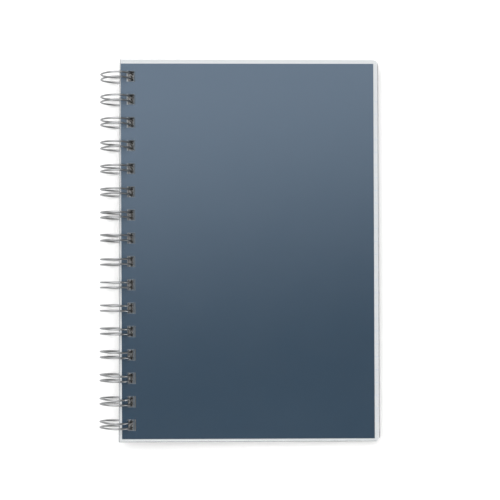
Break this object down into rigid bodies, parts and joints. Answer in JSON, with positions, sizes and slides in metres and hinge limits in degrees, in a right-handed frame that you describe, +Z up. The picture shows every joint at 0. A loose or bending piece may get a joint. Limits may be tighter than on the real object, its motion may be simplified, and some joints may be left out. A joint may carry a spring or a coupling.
{
  "type": "spiral notebook",
  "caption": "Notebook with a clear front sheet over a slate blue card, white pages and a white back board, all hung on a closed twin loop wire, with both covers free to open around it.",
  "frame": {"origin": "under the middle of the closed notebook, on the surface that it lies on", "axes": "+X from the spine to the fore edge, +Y to the head, +Z up through the front cover"},
  "size_m": [0.153, 0.209, 0.0182],
  "materials": {
    "clear_sheet": "clear polypropylene sheet with a faint frost, softly glossy",
    "blue_card": "slate blue printed card, satin",
    "white_paper": "matt white writing paper",
    "white_board": "smooth white board, matt",
    "wire": "silver grey coated steel wire, satin"
  },
  "bodies": {
    "book": {"pages": "white_paper", "binding_wire": "wire"},
    "front": {"front_cover": "clear_sheet", "cover_card": "blue_card"},
    "back": {"back_cover": "white_board"}
  },
  "joints": [
    {"name": "front_cover_hinge", "type": "hinge", "parent": "book", "child": "front", "pos_m": [-0.06738, 0, 0.0091], "axis": [0, -1, 0], "range_deg": [0, 180]},
    {"name": "back_cover_hinge", "type": "hinge", "parent": "book", "child": "back", "pos_m": [-0.06738, 0, 0.0091], "axis": [0, 1, 0], "range_deg": [0, 180]}
  ]
}
